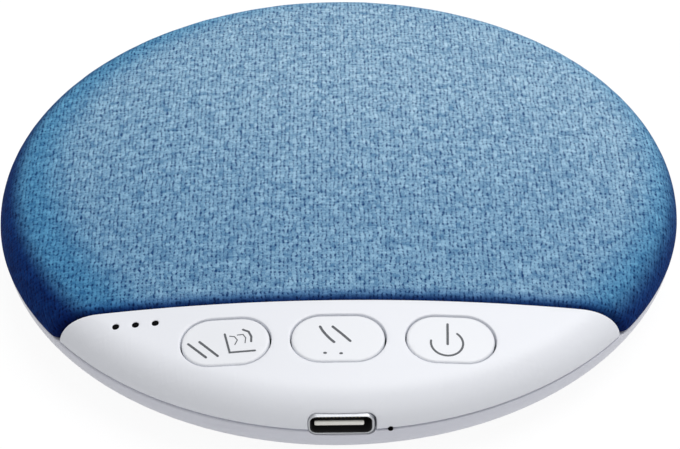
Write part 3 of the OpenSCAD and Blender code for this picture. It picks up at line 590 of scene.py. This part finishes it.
for at, length in KEYS:
    hole = round_bar(at + HOLE_RIGHT, KEY_Y + HOLE_BACK, length + 2 * KEY_GAP, KEY_W + 2 * KEY_GAP)
    holes.append([rolled_out(x, y) for x, y in hole])
bm = plate([outline] + holes + dots(DOT_R), -WALL, 0.0, edge=0.16, pitch=0.8)
bend(bm)
panel_plastic = moulded("panel_plastic", srgb(235, 237, 243), 0.4)
piece("key_segment", bm, panel_plastic, "shell_plastic", stands_for=("control_panel",))


# ---- Three keys
# White keycaps flush with the dome, each with a soft rounded edge and side flanges that stop under
# the segment. Grey marks are printed on top; a black plunger and a small switch stand below each.

KEY_DEEP, FLANGE_LOW, FLANGE_T, FLANGE_REACH, FLANGE_W, FLANGE_L = 4.25, 2.2, 0.8, 0.9, 4.0, 1.8
STEM_R, STEM_LOW, STEM_H = 1.4, 1.42, 3.0
MARK_T = 0.03
marks = {
    "sound": [(0.34, [(-5.07, -0.08), (-2.58, -2.65)]), (0.34, [(-3.53, 0.16), (-0.97, -2.53)]),
              (0.3, [(-0.1, 1.28), (0.64, -2.03), (4.08, -1.87)]),
              (0.3, [(2.38, 1.96), (3.16, 1.56), (3.55, 0.65), (3.54, -0.22)]),
              (0.14, [(0.58, 0.9), (1.25, 0.76), (1.65, 0.14), (1.32, -0.66)]),
              (0.14, [(1.63, 1.03), (2.4, 1.1), (2.79, 0.45), (2.71, -0.43)])],
    "play": [(0.36, [(-2.44, 2.06), (-2.1, 1.3), (-1.68, 0.63), (-1.15, -0.1), (-0.54, -0.77)]),
             (0.36, [(-0.71, 2.02), (0.62, 0.59), (1.66, -0.6)]),
             (0.34, [(-1.87, -2.66), (-1.7, -2.67)]), (0.34, [(0.32, -2.77), (0.48, -2.77)])],
    "power": [(0.34, [(-0.36, 2.63), (-0.47, -0.97)]),
              (0.3, [(-0.55 + 2.2 * math.sin(t), -0.75 + 2.24 * math.cos(t))
                     for t in (0.72 + 0.16 * i for i in range(27))])],
}
ink, shader, start = material("mark_ink", Roughness=0.5, Specular_IOR_Level=0.3)
place = start.node("TexCoord", out=3)
speck = start.node("TexNoise", {"Vector": place, "Scale": 4000.0, "Detail": 2.0})
speck.mix(srgb(70, 73, 78), srgb(98, 101, 106)).into(shader, "Base Color")
key_plastic = moulded("key_plastic", srgb(236, 238, 243), 0.38)


def stroke(bm, path, width, height):
    """One printed line with round ends along a path, in the flat, height above the skin."""
    points = [Vector(p) for p in path]
    ends = (0.0, 0.15, 0.5)
    r = width / 2
    rows = []
    first = (points[1] - points[0]).normalized()
    last = (points[-1] - points[-2]).normalized()
    for e in ends:
        rows.append((points[0] - first * r * (1 - e), first, r * math.sqrt(1 - (1 - e) ** 2)))
    for i, p in enumerate(points):
        way = (points[min(i + 1, len(points) - 1)] - points[max(i - 1, 0)]).normalized()
        bend_share = 1.0
        if 0 < i < len(points) - 1:
            bend_share = 1 / max(0.5, way.dot((points[i + 1] - p).normalized()))
        rows.append((p, way, r * bend_share))
    for e in reversed(ends):
        rows.append((points[-1] + last * r * (1 - e), last, r * math.sqrt(1 - (1 - e) ** 2)))
    edge = None
    for place, way, half in rows:
        side = Vector((-way.y, way.x)) * max(half, 0.01)
        if edge is None:
            pair = [bm.verts.new((*(place + side * sign), height)) for sign in (1, -1)]
            edge = bm.edges.new(pair)
            continue
        grown = bmesh.ops.extrude_edge_only(bm, edges=[edge])["geom"]
        old = list(edge.verts)
        for v in [g for g in grown if isinstance(g, bmesh.types.BMVert)]:
            near = min(old, key=lambda o: (o.co - v.co).length)
            sign = 1 if near == pair[0] else -1
            v.co = (*(place + side * sign), height)
            if sign > 0:
                head = v
            else:
                tail = v
        pair = [head, tail]
        lines = [g for g in grown if isinstance(g, bmesh.types.BMEdge)]
        edge = next(e for e in lines if set(e.verts) == {head, tail})


for key, (at, length) in zip(("sound", "play", "power"), KEYS):
    cap = [rolled_out(x, y) for x, y in round_bar(at, KEY_Y, length, KEY_W)]
    bm = plate([cap], -KEY_DEEP, 0.0, edge=0.3, pitch=0.8)
    bend(bm)
    for s in (-1, 1):
        out = s * (length / 2 + FLANGE_REACH - FLANGE_L / 2)
        middle = Vector((at + out, KEY_Y, FLANGE_LOW + FLANGE_T / 2))
        where = Matrix.LocRotScale(middle, None, (FLANGE_L, FLANGE_W, FLANGE_T))
        box = bmesh.ops.create_cube(bm, size=1.0, matrix=where)
        bmesh.ops.bevel(bm, geom=list({e for v in box["verts"] for e in v.link_edges}), offset=0.15,
                        segments=2, profile=0.5, affect="EDGES", material=-1)
    where = Matrix.Translation((at, KEY_Y, STEM_LOW + STEM_H / 2))
    bmesh.ops.create_cone(bm, segments=32, radius1=STEM_R, radius2=STEM_R, depth=STEM_H,
                          cap_ends=True, matrix=where)
    piece(key + "_keycap", bm, key_plastic, "key_plastic", body=key + "_key",
          stands_for=(key + "_button",))
    bm = bmesh.new()
    for width, path in marks[key]:
        stroke(bm, [rolled_out(at + x, KEY_Y + y) for x, y in path], width, MARK_T)
    bend(bm)
    bmesh.ops.recalc_face_normals(bm, faces=bm.faces[:])
    for f in bm.faces:
        if f.normal.z < 0:
            f.normal_flip()
    bmesh.ops.solidify(bm, geom=bm.faces[:], thickness=MARK_T * 1.3)
    piece(key + "_mark", bm, ink, "black_plastic", body=key + "_key")

black = moulded("black_plastic", srgb(36, 37, 40), 0.5, 0.2)
dress(black, "sound_plunger", "play_plunger", "power_plunger", "sound_switch", "play_switch",
      "power_switch", "main_chip", "amplifier_chip", "light_guide")


# ---- Lamps and light guide
# Three small lamps on the board shine up through a black guide into the indicator holes; all are
# off. A smoked black window closes each hole just below the skin.

made, shader, start = material("lamp_resin", Roughness=0.25, Specular_IOR_Level=0.5)
glow = start.node("TexNoise", {"Vector": start.node("TexCoord", out=3), "Scale": 900.0})
glow.mix(srgb(206, 210, 180), srgb(240, 242, 226)).into(shader, "Base Color")
dress(made, "led_left", "led_middle", "led_right")
WINDOW_PLAY, WINDOW_DOWN = 0.01, 0.08
bm = plate(dots(DOT_R - WINDOW_PLAY), -WALL, -WINDOW_DOWN, edge=0.0, pitch=0.8)
bend(bm)
smoked, shader, start = material("smoked_plastic", Roughness=0.9, Specular_IOR_Level=0.05)
haze = start.node("TexNoise", {"Vector": start.node("TexCoord", out=3), "Scale": 900.0})
haze.mix(srgb(4, 4, 5), srgb(10, 10, 12)).into(shader, "Base Color")
piece("indicator_windows", bm, smoked, "lamp")


# ---- Charging inlet
# A drawn steel mouth with a rounded lip, soldered to the board. Inside it are a black sleeve, which
# is painted shade for the steel's dark inside, and a tongue with a pale tip and rows of gilt
# contacts.

def sleeve(bm, rings):
    """Skins a row of round-cornered rings, each given as soft_bar's values and then its y."""
    made = []
    for *shape, y in rings:
        made.append(closed_line(bm, [(x, y, z) for x, z in soft_bar(*shape)]))
    for a, b in zip(made, made[1:]):
        bmesh.ops.bridge_loops(bm, edges=a + b)
    for end in (made[0], made[-1]):
        bmesh.ops.contextual_create(bm, geom=end)
    bmesh.ops.recalc_face_normals(bm, faces=bm.faces[:])


MOUTH_Y, MOUTH_L, MOUTH_BACK, LIP = -49.75, 7.3, 0.8, 0.12
BORE_LEFT, SIDE_WALLS, FLAT_WALLS, CORNER_WALL = 0.04, 0.6, 0.3, 0.25
outer = (PORT_X, PORT_Z, PORT_W, PORT_H, PORT_CORNER)
inner = (PORT_X - BORE_LEFT, PORT_Z, PORT_W - SIDE_WALLS, PORT_H - FLAT_WALLS,
         PORT_CORNER - CORNER_WALL)
rings = [outer + (MOUTH_Y + MOUTH_L,)]
for i in range(7):
    a = math.pi * i / 6
    share = (1 - math.cos(a)) / 2
    between = tuple(o + (n - o) * share for o, n in zip(outer, inner))
    rings.append(between + (MOUTH_Y + LIP * (1 - math.sin(a)),))
rings.append(inner + (MOUTH_Y + MOUTH_L - MOUTH_BACK,))
bm = bmesh.new()
sleeve(bm, rings)
mouth_steel = metal("mouth_steel", srgb(184, 186, 190), 0.42, (300, 2500, 300))
piece("inlet_mouth", bm, mouth_steel, "mouth_steel", stands_for=("usb_shell",))


def shrunk(shape, by):
    """The same round-cornered shape, smaller by this much all round."""
    x, z, w, h, r = shape
    return x, z, w - 2 * by, h - 2 * by, r - by


# Painted shade: a black sleeve inside the steel mouth stands in for the shade that darkens it.
bm = bmesh.new()
SHADE_SLEEVE_IN, SHADE_SLEEVE_T = 0.14, 0.1
deep_y = MOUTH_Y + MOUTH_L - MOUTH_BACK
around, within = shrunk(inner, 0.01), shrunk(inner, SHADE_SLEEVE_T)
sleeve(bm, [around + (deep_y,), around + (MOUTH_Y + SHADE_SLEEVE_IN,),
            within + (MOUTH_Y + SHADE_SLEEVE_IN + 0.05,), within + (deep_y - 0.1,)])
piece("inlet_shade_sleeve", bm, moulded("painted_shade_black", srgb(20, 20, 22), 0.8), "black_plastic")

TONGUE_X, TONGUE_W, TONGUE_T, TONGUE_Y = -0.2, 6.69, 0.72, MOUTH_Y + 0.35
TIP_CORNER, TIP_ROUND = 0.2, ((0.1, 0.0), (0.03, 0.04), (0.0, 0.12))
tip = (TONGUE_X, PORT_Z, TONGUE_W, TONGUE_T, TIP_CORNER)
bm = bmesh.new()
sleeve(bm, [shrunk(tip, by) + (TONGUE_Y + back_by,) for by, back_by in TIP_ROUND]
       + [tip + (deep_y,)])
made, shader, start = material("tongue_plastic", Roughness=0.5, Specular_IOR_Level=0.4)
place = start.node("TexCoord", out=3)
y = place.node("SeparateXYZ", {0: place}, out=(1,))[0]
cloud = start.node("TexNoise", {"Vector": place, "Scale": 500.0, "Detail": 2.0})
tip_tone = cloud.mix(srgb(244, 242, 232), srgb(255, 254, 248))
PALE_END, DARK_START = TONGUE_Y + 0.18, TONGUE_Y + 0.26
behind = y.step(PALE_END * MM, DARK_START * MM)
behind.mix(tip_tone, srgb(22, 22, 24)).into(shader, "Base Color")
piece("inlet_tongue", bm, made, "connector", stands_for=("usb_tongue",))
bm = bmesh.new()
CONTACTS, CONTACT_STEP, CONTACT_Y = 12, 0.5, TONGUE_Y + 1.9
CONTACT_SIZE = (0.25, 2.4, 0.04)
for s in (-1, 1):
    for i in range(CONTACTS):
        at = Vector((TONGUE_X + (i - (CONTACTS - 1) / 2) * CONTACT_STEP, CONTACT_Y,
                     PORT_Z + s * TONGUE_T / 2))
        bmesh.ops.create_cube(bm, size=1.0, matrix=Matrix.LocRotScale(at, None, CONTACT_SIZE))
gold = metal("contact_gold", srgb(150, 126, 80), 0.35, (2000, 300, 2000))
piece("inlet_contacts", bm, gold, "connector")


# ---- Board and small parts
# A green lacquered board on two posts, with the main chip, the amplifier, and a microphone in a
# rubber boot behind the pinhole, which a black sleeve lines.

board, shader, start = material("board_lacquer", Roughness=0.35, Specular_IOR_Level=0.5)
place = start.node("TexCoord", out=3)
tracks = start.node("TexBrick", {"Vector": place, "Scale": 420.0, "Mortar Size": 0.12}, out=1)
tracks.mix(srgb(28, 92, 58), srgb(38, 112, 70)).into(shader, "Base Color")
start.node("Bump", {"Height": tracks, "Strength": 0.3, "Distance": 0.00003}).into(shader, "Normal")
dress(board, "main_board")
dress(metal("microphone_steel", srgb(200, 200, 202), 0.35, (900, 900, 900)), "microphone")
boot_rubber = moulded("boot_rubber", srgb(40, 40, 42), 0.8, 0.4)
dress(boot_rubber, "mic_boot", "driver_gasket")
bm = bmesh.new()
SLEEVE_R, BORE_R = 0.36, 0.27
profile = ((SLEEVE_R, -46.5), (SLEEVE_R, -49.55), (BORE_R, -49.5), (BORE_R, -47.5))
sleeve(bm, [(PIN_X, SEAM_GAP / 2, 2 * r, 2 * r, r - 0.001, y) for r, y in profile])
piece("pinhole_sleeve", bm, smoked, "rubber_black")


# ---- Battery
# A flat foil-wrapped cell stuck to the bottom shell with tape, and the plug and socket on the board
# that its leads run to.

dress(metal("cell_foil", srgb(196, 197, 200), 0.4, (700, 700, 700)), "battery_cell")
dress(moulded("cell_tape", srgb(232, 230, 216), 0.7, 0.3), "battery_tape")
dress(moulded("connector_plastic", srgb(232, 228, 214), 0.5), "battery_socket", "battery_plug")


# ---- Driver
# A flat dynamic driver: a dark stamped frame, a nickel-plated yoke with a round magnet, a copper
# coil and a coated paper cone. The rubber surround is a roll on the frame and a lip that moves with
# the cone.

dress(moulded("frame_lacquer", srgb(66, 68, 72), 0.45, 0.3), "driver_frame")
dress(metal("yoke_nickel", srgb(186, 184, 180), 0.3, (800, 800, 2500)), "driver_yoke", "pole_plate")
dress(metal("magnet_nickel", srgb(150, 151, 154), 0.35, (1200, 1200, 1200)), "driver_magnet")
dress(metal("coil_copper", srgb(196, 122, 66), 0.4, (300, 300, 9000)), "voice_coil")
dress(moulded("cone_film", srgb(44, 44, 47), 0.7, 0.5), "diaphragm")


def rubber_ring(name, low, **settings):
    """A rubber skin over a line of radius and height, turned once round the driver's axis."""
    bm = bmesh.new()
    closed_line(bm, [(r, 0, z) for r, z in low] + [(r, 0, z + SKIN_T) for r, z in reversed(low)])
    bmesh.ops.spin(bm, geom=bm.verts[:] + bm.edges[:], cent=(0, 0, 0), axis=(0, 0, 1),
                   angle=2 * math.pi, steps=96, use_merge=True)
    bmesh.ops.recalc_face_normals(bm, faces=bm.faces[:])
    piece(name, bm, boot_rubber, "rubber_black", **settings)


CONE_R, CONE_EDGE, FRAME_TOP, SKIN_T = 14.2, 3.2, 3.0, 0.35
ROLL_W, ROLL_H, ROLL_GAP, LAND_W, LIP_W = 3.0, 0.8, 0.03, 1.1, 1.0
ball = (ROLL_W ** 2 / 4 + ROLL_H ** 2) / (2 * ROLL_H)
low = [(CONE_R + ROLL_GAP, CONE_EDGE)]
for i in range(1, 12):
    off = ROLL_W / 2 * (i / 6 - 1)
    low.append((CONE_R + ROLL_W / 2 + off,
                CONE_EDGE + ROLL_H - ball + math.sqrt(ball * ball - off * off)))
low += [(CONE_R + ROLL_W, FRAME_TOP), (CONE_R + ROLL_W + LAND_W, FRAME_TOP)]
rubber_ring("surround_roll", low, stands_for=("surround",))
rubber_ring("surround_lip", [(CONE_R - LIP_W, CONE_EDGE), (CONE_R, CONE_EDGE)], body="cone")


# ---- Leads
# Thin red and black insulated leads: a pair from the cell to its plug, and a pair from the driver's
# terminals down to the board.

def lead(name, route, colour, stands_for=()):
    """An insulated lead 0.9 mm thick along its route, made a closed tube."""
    line = bpy.data.curves.new(name, "CURVE")
    line.dimensions = "3D"
    line.bevel_depth = 0.00045
    line.bevel_resolution = 3
    line.use_fill_caps = True
    line.resolution_u = 6
    spline = line.splines.new("NURBS")
    spline.points.add(len(route) - 1)
    spline.use_endpoint_u = True
    spline.order_u = 4
    for point, (x, y, z) in zip(spline.points, route):
        point.co = (x * MM, y * MM, z * MM + SEAM, 1.0)
    drawn = bpy.data.objects.new(name + "_line", line)
    bpy.context.scene.collection.objects.link(drawn)
    bpy.context.view_layer.update()
    mesh = bpy.data.meshes.new_from_object(drawn)
    bpy.data.objects.remove(drawn)
    mesh.name = name
    mesh.materials.clear()
    mesh.materials.append(colour)
    made = bpy.data.objects.new(name, mesh)
    bpy.context.scene.collection.objects.link(made)
    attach(made, "housing")
    if stands_for:
        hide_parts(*stands_for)


red = moulded("lead_red", srgb(168, 40, 36), 0.45)
dark = moulded("lead_black", srgb(30, 30, 32), 0.45)
CELL_END, CELL_Y, CELL_Z, LEAD_X = 17.0, 30.6, -2.1, 18.7
PLUG_X, PLUG_BACK, PLUG_Z, BOARD_TOP = 12.0, -21.2, 0.62, -0.48
CELL_APART, LEAD_APART, PIN_APART = 1.5, 0.6, 0.7
TAB_R, TAB_TURN, TAB_STEP = 18.45, 238.3, 7.9
SOLDER_X, SOLDER_Y, SOLDER_STEP = -10.0, -23.4, 2
for s, tone, colour in ((1, "red", red), (-1, "black", dark)):
    u, v, w = CELL_Y + CELL_APART * s, CELL_Z + LEAD_APART * s, PLUG_X - PIN_APART * s
    lead("battery_lead_" + tone, [
        (CELL_END, u, CELL_Z), (CELL_END + 0.9, u, CELL_Z), (LEAD_X, u - 1, v),
        (LEAD_X, CELL_Y - 6, v), (LEAD_X, 0, v), (LEAD_X, PLUG_BACK + 7.2, v),
        (LEAD_X - 1.5, PLUG_BACK + 3.2, PLUG_Z - 1 + LEAD_APART * s),
        (PLUG_X + 4, PLUG_BACK + 2, PLUG_Z + LEAD_APART * s),
        (w, PLUG_BACK + 2, PLUG_Z + LEAD_APART * s),
        (w, PLUG_BACK + 0.9, PLUG_Z), (w, PLUG_BACK, PLUG_Z)], colour,
        ("battery_leads",) if s > 0 else ())
    k = 1 if s > 0 else 0
    a = math.radians(TAB_TURN - TAB_STEP * k)
    x, y = TAB_R * math.cos(a), TAB_R * math.sin(a)
    u, v = SOLDER_X - SOLDER_STEP * k, SOLDER_Y
    lead("driver_lead_" + tone, [
        (x, y, 2.2), (x, y, 1.4), (u + 0.1, y - 1.7 - 0.5 * k, 1.0), (u, v + 3.4, 1.0),
        (u, v + 0.8, 1.0), (u, v, 0.4), (u, v, BOARD_TOP)], colour,
        ("driver_leads",) if s > 0 else ())
